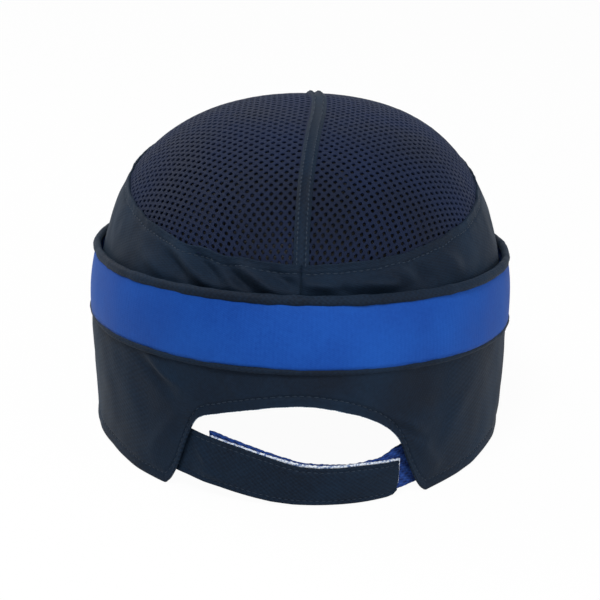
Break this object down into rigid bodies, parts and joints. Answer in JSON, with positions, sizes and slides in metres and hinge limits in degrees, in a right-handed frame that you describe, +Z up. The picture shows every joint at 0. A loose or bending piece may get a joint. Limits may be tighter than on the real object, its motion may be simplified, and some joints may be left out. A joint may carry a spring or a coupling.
{
  "type": "bump cap",
  "caption": "Cloth-covered bump cap with a short peak, mesh crown, contrast band, hook-and-loop rear closure and a lift-out ribbed protective shell.",
  "frame": {"origin": "middle of the head oval, on the surface the cap stands on", "axes": "+Z up, -Y the way the wearer faces, +X the wearer's left"},
  "size_m": [0.1944, 0.3039, 0.1473],
  "materials": {
    "mesh": "matt spacer mesh",
    "navy_cloth": "matt twill",
    "blue_cloth": "satin",
    "hook_tape": "matt hooks",
    "loop_pile": "brushed pile",
    "board": "matt",
    "sweatband_cloth": "towelling",
    "foam": "matt closed-cell foam",
    "shell_plastic": "fine spark finish"
  },
  "bodies": {
    "cover": {"crown_mesh_left": "mesh", "crown_mesh_right": "mesh", "crown_seam_tape": "navy_cloth", "front_panel": "navy_cloth", "yoke_left": "navy_cloth", "yoke_right": "navy_cloth", "contrast_band": "blue_cloth", "piping_upper": "navy_cloth", "piping_lower": "navy_cloth", "lower_panel": "navy_cloth", "hook_strap_root": "navy_cloth", "loop_strap_root": "loop_pile", "peak_top_cover": "navy_cloth", "peak_bottom_cover": "navy_cloth", "peak_board": "board", "peak_binding": "navy_cloth", "sweatband": "sweatband_cloth", "brow_pad": "foam"},
    "insert": {"hard_shell": "shell_plastic", "crown_pad": "foam", "front_pad": "foam", "rear_pad": "foam", "left_pad": "foam", "right_pad": "foam"},
    "hook_closure": {"hook_strap": "navy_cloth", "hook_tape": "hook_tape"},
    "loop_closure": {"loop_strap": "loop_pile"}
  },
  "joints": [
    {"name": "insert_lift_out", "type": "slide", "parent": "cover", "child": "insert", "axis": [0, 0, -1], "range_m": [0, 0.16]},
    {"name": "hook_strap_peel", "type": "hinge", "parent": "cover", "child": "hook_closure", "pos_m": [0.045, 0.1005, 0.01], "axis": [0, 0, -1], "range_deg": [0, 90]},
    {"name": "loop_strap_fold", "type": "hinge", "parent": "cover", "child": "loop_closure", "pos_m": [-0.0465, 0.0932, 0.01], "axis": [0, 0, -1], "range_deg": [0, 25]}
  ]
}
